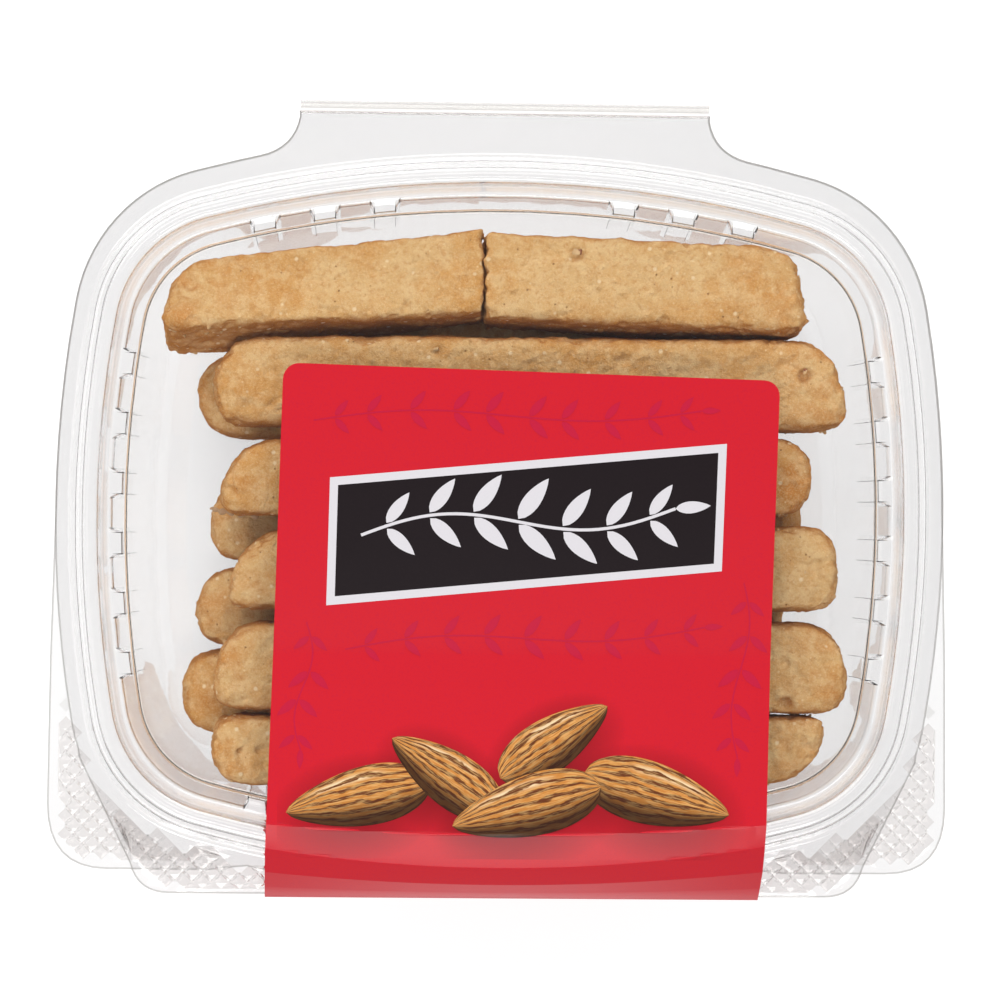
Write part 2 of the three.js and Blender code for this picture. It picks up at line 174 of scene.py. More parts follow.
hinge_half_length = 0.0425
hinge_flare = 0.008
hinge_radius = 0.0012
hinge_axis = (0, box_middle + 0.0848, (lid_level + tub_level) / 2)
hinge_start = asin((lid_level - tub_level) / 2 / hinge_radius)
hinge_line = hinge_axis[1] - hinge_radius * cos(hinge_start)

dimple_lattice = 96
dimple_pitch = 0.0027
dimple_margin = 0.0003
dimple_height = 0.00024
edge_margin = 0.0019
rim_margin = 0.0015
lip = 0.0003
rounding = 1e-6


pet = {"IOR": 1.5, "Transmission Weight": 1}
# The clear sheet is tinted grey: partly its own faint haze, partly painted shade of the ground
# below.
clear_plastic = plain_material("clear_pet", (0.905, 0.903, 0.905), 0.03, pet)
# The turned-down cut edge is dark grey as painted shade: the dark line a clear edge shows.
cut_plastic = plain_material("cut_pet", (0.36, 0.35, 0.34), 0.35, pet)
worked_plastic = plain_material("worked_pet", (0.83, 0.82, 0.81), 0.20, pet)
# The embossed grip tabs are tinted darker grey as painted shade.
embossed_plastic = plain_material("embossed_pet", (0.77, 0.75, 0.745), 0.05, pet)
# The warm tint of the panel step is a painted reflection of the biscuits.
step_plastic = plain_material("step_pet", (0.72, 0.50, 0.32), 0.12, pet)
plastics = [clear_plastic, cut_plastic, worked_plastic, embossed_plastic, step_plastic]


def plan_corner(inset):
    """The corner arc that touches the side arc and the end arc of the plan, drawn in by inset."""
    side = Vector((half_width - side_radius, 0))
    end = Vector((0, half_depth - end_radius))
    radius = corner_radius - corner_shrink * inset
    to_side = side_radius - inset - radius
    to_end = end_radius - inset - radius
    between = end - side
    along = (to_side**2 - to_end**2 + between.length_squared) / (2 * between.length)
    off = sqrt(to_side**2 - along**2)
    line = between.normalized()
    centre = side + line * along + Vector((-line.y, line.x)) * off
    return centre, radius, (centre - side), (centre - end)


def plan_point(kind, at, inset):
    if kind == "side":
        return Vector((half_width - side_radius + sqrt((side_radius - inset) ** 2 - at**2), at))
    if kind == "end":
        return Vector((at, half_depth - end_radius + sqrt((end_radius - inset) ** 2 - at**2)))
    centre, radius, from_side, from_end = plan_corner(inset)
    start = atan2(from_side.y, from_side.x)
    finish = atan2(from_end.y, from_end.x)
    angle = start + (finish - start) * at
    return centre + radius * Vector((cos(angle), sin(angle)))


def flute_places(kind, centres):
    """The four corners in plan of each flute on a side or an end, the inner two pressed in."""
    across = ((-flute_mouth, 0), (-flute_bottom, 1), (flute_bottom, 1), (flute_mouth, 0))
    for pitches in centres:
        for width, pressed in across:
            yield kind, pitches * flute_pitch + width / 2, pressed


corner_steps = 14
quarter_plan = [
    *flute_places("side", side_flutes),
    ("side", 0.0360, 0),
    *[("corner", step / corner_steps, 0) for step in range(corner_steps + 1)],
    ("end", 0.0545, 0),
    *reversed(list(flute_places("end", end_flutes))),
    ("end", 0.0145, 0),
    ("end", 0.0048, 0),
]


def plan_ring(inset, height, flute=0.0):
    """One closed ring of the formed sheet at a height, in by flute where the wall is fluted."""
    quarter = [plan_point(kind, at, inset + pressed * flute) for kind, at, pressed in quarter_plan]
    ring = []
    for right, back in ((1, 1), (-1, 1), (-1, -1), (1, -1)):
        for x, y in quarter[::right * back]:
            ring.append(Vector((right * x, box_middle + back * y, height)))
    return ring


def eased(section, steps=5):
    """The section (inset, height, flute, ease) with each bend rounded over the distance ease."""
    points = [Vector(row[:3]) for row in section]
    smooth = [points[0]]
    for before, bend, after, row in zip(points, points[1:], points[2:], section[1:]):
        reach = min(row[3], 0.45 * (before - bend).length, 0.45 * (after - bend).length)
        start = bend + (before - bend).normalized() * reach
        finish = bend + (after - bend).normalized() * reach
        for step in range(steps + 1):
            t = step / steps
            smooth.append((1 - t) ** 2 * start + 2 * t * (1 - t) * bend + t**2 * finish)
    return [*smooth, points[-1]]


def add_loop(name, ring, fill):
    """A new object from a circle primitive whose vertices are put on the ring."""
    bpy.ops.mesh.primitive_circle_add(vertices=len(ring), fill_type=fill)
    piece = bpy.context.object
    piece.name = name
    for vertex, spot in zip(piece.data.vertices, ring):
        vertex.co = spot
    return piece


def edit_all():
    bpy.ops.object.mode_set(mode="EDIT")
    bpy.ops.mesh.select_all(action="SELECT")


def form_tray(name, section):
    """Forms the rings of a tray one inside the other, by insets, down to its flat middle."""
    rings = eased(section)
    tray = add_loop(name, plan_ring(*rings[0]), "NGON")
    for material in plastics:
        tray.data.materials.append(material)
    edit_all()
    for inset, height, flute in rings[1:]:
        bpy.ops.mesh.inset(thickness=sheet / 10)
        mesh = bmesh.from_edit_mesh(tray.data)
        middle = next(face for face in mesh.faces if face.select)
        for vertex, spot in zip(middle.verts, plan_ring(inset, height, flute)):
            vertex.co = spot
        bmesh.update_edit_mesh(tray.data)
    bpy.ops.object.mode_set(mode="OBJECT")
    return tray


def curve_points(start, pull, finish, steps=8):
    start, pull, finish = Vector(start), Vector(pull), Vector(finish)
    ways = [step / steps for step in range(steps + 1)]
    return [(1 - t) ** 2 * start + 2 * t * (1 - t) * pull + t**2 * finish for t in ways]


def rim_points(first_y, last_x):
    """The right half of the plain flange edge, from first_y round the back corner to last_x."""
    ring = [Vector((p.x, p.y - box_middle)) for p in plan_ring(0, 0)]
    for point in ring:
        point.y *= (back_reach if point.y > 0 else front_reach) / half_depth
    right = [p for p in ring if p.x > 0 and p.y > first_y]
    kept = [p for p in right if p.x > last_x or p.y < 0.06]
    return sorted(kept, key=lambda p: atan2(p.y, p.x))


def neck_points():
    """The hollow curve from the flange up to the end of the hinge."""
    top = hinge_line - box_middle
    foot = (hinge_half_length + hinge_flare, 0.0745)
    pull = (hinge_half_length + 0.0012, 0.0762)
    curve = curve_points(foot, pull, (hinge_half_length, top - 0.001))
    return [*curve, Vector((hinge_half_length, top))]


def mirrored(half, level):
    """The whole edge of a flange from its right half, which runs from front to back."""
    whole = half + [Vector((-x, y)) for x, y in reversed(half)]
    return [Vector((x, box_middle + y, level)) for x, y in whole]


def lid_edge():
    front = curve_points((0.068, -front_reach), (0.0745, -front_reach), (0.076, -0.0724))
    side = rim_points(-0.0500, hinge_half_length + hinge_flare + 0.002)
    return mirrored([*front, Vector((0.0868, -0.0505)), *side, *neck_points()], lid_level)


def tub_edge():
    front = [plan_point("end", x, 0) for x in (0.006, 0.018, 0.030, 0.042, 0.052)]
    front = [Vector((x, -y * front_reach / half_depth)) for x, y in front]
    corner = curve_points((0.081, -0.0736), (0.0933, -0.0736), (0.0933, -0.0600))
    side = rim_points(0.002, hinge_half_length + hinge_flare + 0.002)
    front = [*front, Vector((0.060, -0.0736)), *corner, Vector((0.0930, -0.030))]
    return mirrored([*front, *side, *neck_points()], tub_level)


def room_inside(spot, loop):
    """The distance from a spot to a closed loop in plan, negative when the spot lies outside."""
    nearest = 1.0
    inside = False
    for a, b in zip(loop, loop[1:] + loop[:1]):
        along = max(0.0, min(1.0, (spot - a).dot(b - a) / (b - a).length_squared))
        nearest = min(nearest, (spot - a - (b - a) * along).length)
        crossed = (a.y > spot.y) != (b.y > spot.y)
        if crossed and spot.x < a.x + (spot.y - a.y) / (b.y - a.y) * (b.x - a.x):
            inside = not inside
    return nearest if inside else -nearest


def dimple_squares(edge, rim, back):
    """The feet of the grip pyramids: a lattice set cornerwise between the edge and the rim."""
    bpy.ops.mesh.primitive_grid_add(
        x_subdivisions=dimple_lattice, y_subdivisions=dimple_lattice,
        size=dimple_lattice * dimple_pitch,
        location=(0, box_middle - half_depth, edge[0].z), rotation=(0, 0, pi / 4),
    )
    squares = bpy.context.object
    bpy.ops.object.transform_apply(location=True, rotation=True, scale=True)
    edge = [p.to_2d() for p in edge]
    rim = [p.to_2d() for p in rim]
    bpy.ops.object.mode_set(mode="EDIT")
    bpy.ops.mesh.select_mode(type="FACE")
    mesh = bmesh.from_edit_mesh(squares.data)
    for face in mesh.faces:
        spot = face.calc_center_median().to_2d()
        near = edge[0].y - 0.01 < spot.y < back and abs(spot.x) < half_width + 0.002
        clear = near and room_inside(spot, edge) > edge_margin
        face.select = not (clear and room_inside(spot, rim) < -rim_margin)
    bmesh.update_edit_mesh(squares.data)
    bpy.ops.mesh.delete(type="FACE")
    bpy.ops.mesh.select_all(action="SELECT")
    bpy.ops.mesh.inset(use_individual=True, thickness=dimple_margin)
    bpy.ops.mesh.select_all(action="INVERT")
    bpy.ops.mesh.delete(type="FACE")
    bpy.ops.object.mode_set(mode="OBJECT")
    return squares


def join(first, others):
    bpy.ops.object.select_all(action="DESELECT")
    for piece in (first, *others):
        piece.select_set(True)
    bpy.context.view_layer.objects.active = first
    bpy.ops.object.join()
    return first


def select_parts(piece, kind, wanted):
    """Selects in edit mode the faces or the edges for which wanted is true."""
    bpy.ops.mesh.select_mode(type=kind)
    bpy.ops.mesh.select_all(action="DESELECT")
    mesh = bmesh.from_edit_mesh(piece.data)
    for part in mesh.faces if kind == "FACE" else mesh.edges:
        part.select = wanted(part)
    if kind == "FACE":
        mesh.select_flush(True)
    bmesh.update_edit_mesh(piece.data)


def make_selected(piece, plastic):
    """Makes the selected faces of this plastic."""
    piece.active_material_index = plastics.index(plastic)
    bpy.ops.object.material_slot_assign()


def at_hinge(side):
    return all(abs(end.co.y - hinge_line) < rounding for end in side.verts)


def turn_down_lip(tray, edge):
    """Turns the cut edge of a flange down a little, all round but at the hinge."""
    lip_middle = edge[0].z - lip / 2
    select_parts(tray, "EDGE", lambda side: side.is_boundary and not at_hinge(side))
    bpy.ops.mesh.extrude_edges_move(TRANSFORM_OT_translate={"value": (0, 0, -lip)})
    select_parts(tray, "FACE", lambda face: abs(face.normal.z) < 0.1
                 and abs(face.calc_center_median().z - lip_middle) < rounding)
    make_selected(tray, cut_plastic)


def add_flange(tray, edge, rim, back):
    """Fills the flat between the tray's rim and the flange edge, and raises the grip pyramids."""
    outline = add_loop("edge", edge, "NOTHING")
    squares = dimple_squares(edge, rim, back)
    level = edge[0].z
    foot_area = (dimple_pitch - 2 * dimple_margin) ** 2
    join(tray, [outline, squares])
    bpy.ops.object.mode_set(mode="EDIT")
    bpy.ops.mesh.select_mode(type="EDGE")
    bpy.ops.mesh.select_all(action="DESELECT")
    bpy.ops.mesh.select_non_manifold(
        extend=False, use_multi_face=False, use_non_contiguous=False, use_verts=False,
    )
    bpy.ops.mesh.fill(use_beauty=True)

    def is_foot(face):
        middle = face.calc_center_median()
        flat = middle.y < box_middle + back and abs(middle.z - level) < rounding
        return flat and len(face.verts) == 4 and abs(face.calc_area() / foot_area - 1) < 0.01

    select_parts(tray, "FACE", is_foot)
    mesh = bmesh.from_edit_mesh(tray.data)
    for face in mesh.faces:
        if face.select and face.normal.z < 0:
            face.normal_flip()
    bmesh.update_edit_mesh(tray.data)
    bpy.ops.mesh.poke(offset=dimple_height)
    make_selected(tray, embossed_plastic)
    turn_down_lip(tray, edge)
    bpy.ops.object.mode_set(mode="OBJECT")


lid_root = 0.0010
panel_step = 0.0145
lid_section = [
    # inset, height, depth of the flutes, ease of the bend
    (lid_root, lid_level, 0, 0),
    (0.0030, lid_level, 0, 0.0010),
    (0.0050, lid_top - 0.0014, 0, 0.0014),
    (0.0064, lid_top - sheet / 2, 0, 0.0008),
    (0.0090, lid_top - sheet / 2, 0, 0.0010),
    (0.0101, lid_top - 0.0016, 0, 0.0010),
    (0.0110, ledge_level, 0, 0.0008),
    (panel_step, ledge_level, 0, 0.0003),
    (panel_step + 0.0006, panel_height, 0, 0.0003),
    (0.0160, panel_height, 0, 0.0002),
    (0.0168, panel_height, 0, 0),
]
tub_root = 0.0020
tub_section = [
    (tub_root, tub_level, 0, 0),
    (0.0041, tub_level, 0, 0.0010),
    (0.0062, lid_top - 0.0024, 0, 0.0010),
    (0.0072, lid_top - 0.0014, 0, 0.0006),
    (0.0082, lid_top - 0.0014, 0, 0.0006),
    (0.0091, lid_top - 0.0026, 0, 0.0008),
    (0.0097, 0.0468, 0, 0.0010),
    (0.0114, 0.0458, flute_depth, 0.0018),
    (0.0124, 0.0385, 0.0008, 0.0030),
    (0.0141, 0.0260, 0.0004, 0.0030),
    (0.0180, 0.0075, 0.0002, 0.0020),
    (0.0202, 0.0030, 0, 0.0015),
    (0.0242, sheet / 2, 0, 0.0020),
    (0.0252, sheet / 2, 0, 0),
]

lid = form_tray("clear_clamshell", lid_section)
add_flange(lid, lid_edge(), plan_ring(lid_root, 0), box_middle - 0.045)
tub = form_tray("tub", tub_section)
add_flange(tub, tub_edge(), plan_ring(tub_root, 0), box_middle - 0.037)
shell = join(lid, [tub])

# The hinge: the back edge of the lid's web is turned round the fold until it meets the tub's web.
bpy.ops.object.mode_set(mode="EDIT")
select_parts(shell, "EDGE", lambda side: at_hinge(side) and all(
    abs(end.co.z - lid_level) < rounding for end in side.verts
))
bpy.ops.mesh.spin(steps=16, angle=2 * (pi - hinge_start), center=hinge_axis, axis=(-1, 0, 0))
select_parts(shell, "FACE", lambda face: face.calc_center_median().y > hinge_line)
make_selected(shell, worked_plastic)

# The low step between the lid's ledge and its panel is tinted warm, a painted reflection of the
# contents.
step_edge = [point.to_2d() for point in plan_ring(panel_step - 0.0002, 0)]


def is_step(face):
    middle = face.calc_center_median()
    return 0.0003 < middle.z - ledge_level < 0.0011 and room_inside(middle.to_2d(), step_edge) > 0


select_parts(shell, "FACE", is_step)
make_selected(shell, step_plastic)
bpy.ops.mesh.select_all(action="SELECT")
bpy.ops.mesh.remove_doubles(threshold=0.00002)
bpy.ops.mesh.normals_make_consistent(inside=False)
bpy.ops.object.mode_set(mode="OBJECT")


def apply_modifier(piece, kind, **settings):
    """Adds a modifier with these settings and applies it."""
    bpy.context.view_layer.objects.active = piece
    modifier = piece.modifiers.new(kind.lower(), kind)
    set_all(modifier, settings)
    bpy.ops.object.modifier_apply(modifier=modifier.name)


apply_modifier(shell, "SOLIDIFY", thickness=sheet, offset=0, use_even_offset=True)
bpy.ops.object.shade_smooth_by_angle(angle=radians(20))
# Light passes through the clear sheet, so it throws no shadow.
shell.visible_shadow = False
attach(shell, "root")
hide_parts("clamshell")


# ------------------------------------------------------------------------------
# The biscuits: fingers of baked almond dough, cut square and rounded by baking, laid in two
# layers. Their crust is matt and finely pored, browner at the ends and along the edges, with
# painted shade on the edges, low on the sides, in the pores and at the right end of the third
# finger, and pits where a bit of almond lies. The back finger of the upper layer is snapped in
# two.

tip_softness = 160
crust_cell = 0.0005
hidden_cell = 0.0008
broken_corner = 0.001
broken_reach = 0.004
tip_reach = 0.010
end_reach = 0.022
crack_depth = 0.0022
sag_depth = 0.0012
lump_depth = 0.0010
crumb_depth = 0.00040
pit_depth = 0.0005
tip_depth = 0.0014


def add_texture(name, size, depth):
    texture = bpy.data.textures.new(name, "CLOUDS")
    texture.noise_scale = size
    texture.noise_depth = depth
    return texture


sag_texture = add_texture("sag", 0.020, 1)
lump_texture = add_texture("lumps", 0.0048, 3)
crumb_texture = add_texture("crumb", 0.0018, 3)
crumb_texture.noise_type = "HARD_NOISE"
crack_texture = add_texture("crack", 0.0026, 3)
tip_texture = add_texture("tip", 0.0028, 3)
pit_texture = add_texture("pits", 0.0030, 1)
pit_texture.use_color_ramp = True
pit_texture.color_ramp.elements[0].position = 0.62
pit_texture.color_ramp.elements[1].position = 0.78


# These helpers add a node to the tree of the socket that they are given.
def mix_colour(mask, under, over):
    """Lays the colour over on the colour under where the mask is high."""
    under, over = ((*value, 1) if isinstance(value, tuple) else value for value in (under, over))
    feeds = {0: mask, 6: under, 7: over}
    return add_node(mask.id_data, "ShaderNodeMix", feeds, data_type="RGBA").outputs[2]


def ranged(value, *limits):
    """A value stretched smoothly from the range of the first two limits onto that of the last
    two, or onto 0 to 1."""
    feeds = dict(enumerate((value, *limits)))
    settings = {"interpolation_type": "SMOOTHSTEP"}
    return add_node(value.id_data, "ShaderNodeMapRange", feeds, **settings).outputs[0]


def calculate(operation, *values, **settings):
    feeds = dict(enumerate(values))
    settings["operation"] = operation
    return add_node(values[0].id_data, "ShaderNodeMath", feeds, **settings).outputs[0]


def noise(place, scale, detail=3.0, roughness=0.55):
    feeds = {"Vector": place, "Scale": scale, "Detail": detail, "Roughness": roughness}
    return add_node(place.id_data, "ShaderNodeTexNoise", feeds).outputs[0]


def cells(place, scale):
    feeds = {"Vector": place, "Scale": scale}
    return add_node(place.id_data, "ShaderNodeTexVoronoi", feeds).outputs["Distance"]


def feed_colour(material, colour):
    shader = material.node_tree.nodes["Principled BSDF"]
    material.node_tree.links.new(colour, shader.inputs["Base Color"])


def feed_height(material, height, strength, distance):
    feeds = {"Height": height, "Strength": strength, "Distance": distance}
    bump = add_node(material.node_tree, "ShaderNodeBump", feeds)
    shader = material.node_tree.nodes["Principled BSDF"]
    material.node_tree.links.new(bump.outputs["Normal"], shader.inputs["Normal"])


def dough_material():
    """The crust: golden in broad patches under pale mottles and dark freckles, browner at the ends
    (one end darker still, as painted shadow), browner along the edges by baking and by painted
    shade, with painted shade low on the sides, pores darkened with painted shade, and pale specks."""
    material = plain_material("baked_dough", (0.8, 0.8, 0.8), 0.9, {"Specular IOR Level": 0.03})
    tree = material.node_tree
    place = add_node(tree, "ShaderNodeTexCoord")
    spot = place.outputs["Object"]
    facing = add_node(tree, "ShaderNodeSeparateXYZ", {0: place.outputs["Normal"]})
    upward = facing.outputs["Z"]
    # How dark each end is: baked colour, and at one end painted shadow.
    bake_and_shade = add_node(tree, "ShaderNodeAttribute", attribute_name="bake_and_shade").outputs["Fac"]

    broad = ranged(noise(spot, 70), 0.38, 0.66)
    brown_patch = ranged(noise(spot, 150), 0.40, 0.62, 0.15, 0.95)
    brown_end = calculate("MULTIPLY", bake_and_shade, brown_patch, use_clamp=True)
    # Browner where the surface slopes away from the top: partly baked colour, partly painted
    # shade.
    edge = ranged(upward, 0.50, 0.97, 0.55, 0)
    mottle = ranged(noise(spot, 330, 4, 0.6), 0.40, 0.66, 0, 0.50)
    freckle = ranged(noise(spot, 1000, 3, 0.6), 0.48, 0.70, 0, 0.46)
    grit = ranged(noise(spot, 2400, 2, 0.5), 0.46, 0.66, 0, 0.28)
    # Painted shade: darker low on the sides that face the other fingers, less on the ends.
    side = ranged(calculate("ABSOLUTE", facing.outputs["Y"]), 0.15, 0.75, 0.35, 1)
    low_side_shade = calculate("MULTIPLY", ranged(upward, 0.0, 0.85, 0.85, 0), side)
    # Pores: dark spots of painted shade in the crust's small holes.
    pore_patch = ranged(noise(spot, 240), 0.50, 0.60, 0, 0.8)
    pores = ranged(cells(spot, 480), 0.05, 0.15, 1, 0)
    pore = calculate("MULTIPLY", pores, pore_patch)
    bubbles = ranged(cells(spot, 410), 0.05, 0.13, 0.55, 0)
    specks = ranged(cells(spot, 230), 0.06, 0.14, 0.7, 0)

    colour = mix_colour(broad, (0.660, 0.419, 0.181), (0.600, 0.311, 0.095))
    for mask, over in (
        # ends: baked browner, and painted shadow where the mark is strong
        (brown_end, (0.56, 0.245, 0.064)),
        # edge slopes: baked colour and painted shade
        (edge, (0.52, 0.200, 0.037)),
        (mottle, (0.77, 0.555, 0.295)),
        (freckle, (0.48, 0.215, 0.056)),
        (grit, (0.77, 0.570, 0.310)),
        # painted shade low on the sides
        (low_side_shade, (0.39, 0.142, 0.030)),
        # painted shade in the pores
        (pore, (0.26, 0.110, 0.036)),
        (bubbles, (0.80, 0.60, 0.34)),
        (specks, (0.84, 0.68, 0.44)),
    ):
        colour = mix_colour(mask, colour, over)
    feed_colour(material, colour)

    fine = noise(spot, 900, 4, 0.65)
    relief = calculate("MULTIPLY_ADD", noise(spot, 2600, 2), 0.5, fine)
    relief = calculate("MULTIPLY_ADD", noise(spot, 380, 5, 0.6), 2.2, relief)
    feed_height(material, calculate("SUBTRACT", relief, pore), 0.65, 0.0006)
    return material


baked_dough = dough_material()


def press_pit(piece, spot, radius, depth):
    """Presses a dent into the crust at the point nearest to the spot."""
    bpy.ops.mesh.select_all(action="DESELECT")
    mesh = bmesh.from_edit_mesh(piece.data)
    nearest = min(mesh.verts, key=lambda v: (v.co - spot).length_squared)
    nearest.select = True
    mesh.select_flush_mode()
    push = nearest.normal * -depth
    bmesh.update_edit_mesh(piece.data)
    bpy.ops.transform.translate(
        value=push, use_proportional_edit=True, proportional_edit_falloff="SMOOTH",
        proportional_size=radius,
    )


def end_corner(end, side, level, floor, height):
    """A corner of a finger's end, by its side (-1 front, 1 back) and level (-1 foot, 1 top)."""
    x, y, width, slant, roll, lift = end[:6]
    middle = Vector((x, box_middle + y, floor + height / 2 + lift))
    turn = Matrix.Rotation(radians(roll), 3, "X")
    corner = turn @ Vector((0, side * width / 2, level * height / 2))
    return middle + corner + Vector((side * slant, 0, 0))


def add_finger(node, floor, height, left, right, softness, cell):
    """A bar between its two ends, its upright corners rounded one by one, remeshed fine, softened
    all over but at a broken end, and roughened."""
    bpy.ops.mesh.primitive_cube_add(size=2)
    piece = bpy.context.object
    piece.name = node.replace("biscuit", "baked_finger")
    for vertex in piece.data.vertices:
        end, side, level = (round(sign) for sign in vertex.co)
        vertex.co = end_corner(left if end < 0 else right, side, level, floor, height)
    bpy.ops.object.mode_set(mode="EDIT")
    middle = (left[0] + right[0]) / 2
    corners = ((-1, 1, left[6]), (-1, -1, left[7]), (1, 1, right[6]), (1, -1, right[7]))
    for end, side, radius in corners:
        bpy.ops.mesh.select_mode(type="EDGE")
        bpy.ops.mesh.select_all(action="DESELECT")
        mesh = bmesh.from_edit_mesh(piece.data)
        upright = [edge for edge in mesh.edges if (edge.verts[0].co.x - middle) * end > 0
                   and abs((edge.verts[0].co - edge.verts[1].co).normalized().z) > 0.9]
        corner = max(upright, key=lambda edge: side * (edge.verts[0].co + edge.verts[1].co).y)
        corner.select = True
        bmesh.update_edit_mesh(piece.data)
        bpy.ops.mesh.bevel(offset=radius, segments=6, profile=0.5, affect="EDGES")
    bpy.ops.object.mode_set(mode="OBJECT")
    apply_modifier(piece, "REMESH", mode="VOXEL", voxel_size=cell)
    broken_faces = [end[0] for end in (left, right) if end[6] < broken_corner]
    baked_faces = [end[0] for end in (left, right) if end[6] >= broken_corner]
    soft, broken, tip = (piece.vertex_groups.new(name=name) for name in ("soft", "broken", "tip"))
    for vertex in piece.data.vertices:
        x = vertex.co.x
        near_break = max([1 - abs(x - face) / broken_reach for face in broken_faces] + [0])
        near_tip = max([1 - abs(x - face) / tip_reach for face in baked_faces] + [0])
        soft.add([vertex.index], 1 - 0.9 * near_break, "REPLACE")
        broken.add([vertex.index], near_break, "REPLACE")
        tip.add([vertex.index], near_tip, "REPLACE")
    for group, passes in (("soft", softness), ("tip", tip_softness)):
        passes = round(passes * (crust_cell / cell) ** 2)
        apply_modifier(piece, "SMOOTH", factor=0.5, iterations=passes, vertex_group=group)
    if broken_faces:
        apply_modifier(piece, "DISPLACE", texture=crack_texture, strength=crack_depth,
                       mid_level=0.5, direction="X", vertex_group="broken")
    for texture, depth, level, group in (
        (sag_texture, sag_depth, 0.5, ""),
        (lump_texture, lump_depth, 0.5, ""),
        (crumb_texture, crumb_depth, 0.5, ""),
        (pit_texture, -pit_depth, 0, ""),
        (tip_texture, tip_depth, 0.5, "tip"),
    ):
        apply_modifier(piece, "DISPLACE", texture=texture, strength=depth, mid_level=level,
                       vertex_group=group)
    return piece


def brown_ends(piece, left_bake_and_shade, right_bake_and_shade):
    """Marks how dark each end of a finger is baked, or darkened further as painted shadow."""
    bake_and_shade = piece.data.attributes.new("bake_and_shade", "FLOAT", "POINT")
    along = [vertex.co.x for vertex in piece.data.vertices]
    left_face, right_face = min(along), max(along)
    for mark, x in zip(bake_and_shade.data, along):
        left = max(0.0, 1 - (x - left_face) / end_reach)
        right = max(0.0, 1 - (right_face - x) / end_reach)
        mark.value = left * left_bake_and_shade + right * right_bake_and_shade


def finish_finger(piece, node, pits):
    bpy.context.view_layer.objects.active = piece
    bpy.ops.object.mode_set(mode="EDIT")
    bpy.ops.mesh.select_mode(type="VERT")
    for spot, radius, depth in pits:
        press_pit(piece, spot, radius, depth)
    bpy.ops.object.mode_set(mode="OBJECT")
    bpy.ops.object.shade_smooth()
    piece.data.materials.append(baked_dough)
    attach(piece, "root")
    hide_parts(node)


def random_pits(node, draw, count):
    """Small pits spread over the upper half of a finger."""
    low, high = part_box(node)
    pits = []
    for _ in range(count):
        spot = Vector((draw.uniform(low.x, high.x), draw.uniform(low.y, high.y),
                       draw.uniform(low.z + 0.010, high.z)))
        pits.append((spot, draw.uniform(0.0012, 0.0024), draw.uniform(0.0002, 0.0006)))
    return pits


# Each end: x, y from the box's middle, width, how far its back corner reaches beyond its middle,
# roll in degrees, lift, and how round the back and the front corner are. Broken ends stay sharp.
# Last comes how many passes of smoothing the finger gets.
upper_fingers = {
    "biscuit_1_left": ((-0.0706, 0.0430, 0.0166, 0.0020, -21, 0.0014, 0.0060, 0.0040),
                       (-0.0041, 0.0507, 0.0186, 0, -6, 0.0007, 0.0004, 0.0004), 150),
    "biscuit_1_right": ((-0.0038, 0.0500, 0.0188, 0, -6, 0.0007, 0.0004, 0.0004),
                        (0.0634, 0.0474, 0.0184, -0.0018, -7, 0.0007, 0.0045, 0.0030), 150),
    "biscuit_2": ((-0.0604, 0.0281, 0.0190, 0.0006, 0, 0, 0.0092, 0.0060),
                  (0.0728, 0.0286, 0.0192, -0.0020, 0, 0, 0.0084, 0.0045), 190),
    "biscuit_3": ((-0.0582, 0.0076, 0.0166, 0.0020, 0, 0, 0.0080, 0.0040),
                  (0.0660, 0.0089, 0.0168, 0, 0, 0, 0.0070, 0.0070), 190),
    "biscuit_4": ((-0.0558, -0.0114, 0.0170, 0.0026, 0, 0, 0.0075, 0.0035),
                  (0.0716, -0.0102, 0.0178, 0.0006, 0, 0, 0.0075, 0.0025), 190),
    "biscuit_5": ((-0.0598, -0.0319, 0.0186, 0.0012, 0, 0, 0.0085, 0.0045),
                  (0.0738, -0.0312, 0.0190, -0.0008, 0, 0, 0.0084, 0.0052), 190),
    "biscuit_6": ((-0.0602, -0.0496, 0.0150, 0, 0, 0.0006, 0.0025, 0.0072),
                  (0.0680, -0.0484, 0.0140, 0.0022, 0, 0.0006, 0.0026, 0.0072), 150),
}
under_fingers = {
    "under_biscuit_1": ((-0.0530, 0.0430, 0.0168, 0, 0, 0, 0.0060, 0.0060),
                        (0.0535, 0.0430, 0.0168, 0, 0, 0, 0.0060, 0.0060), 190),
    "under_biscuit_2": ((-0.0652, 0.0254, 0.0174, 0, 0, 0, 0.0070, 0.0080),
                        (0.0610, 0.0252, 0.0176, 0, 0, 0, 0.0060, 0.0060), 190),
    "under_biscuit_3": ((-0.0620, -0.0012, 0.0178, 0.0015, 0, 0, 0.0080, 0.0070),
                        (0.0662, -0.0006, 0.0178, 0, 0, 0, 0.0060, 0.0060), 190),
    "under_biscuit_4": ((-0.0646, -0.0198, 0.0172, 0.0008, 0, 0, 0.0070, 0.0060),
                        (0.0628, -0.0196, 0.0174, 0, 0, 0, 0.0060, 0.0060), 190),
    "under_biscuit_5": ((-0.0676, -0.0382, 0.0178, 0, 0, 0, 0.0070, 0.0070),
                        (0.0600, -0.0382, 0.0180, 0, 0, 0, 0.0060, 0.0060), 190),
}
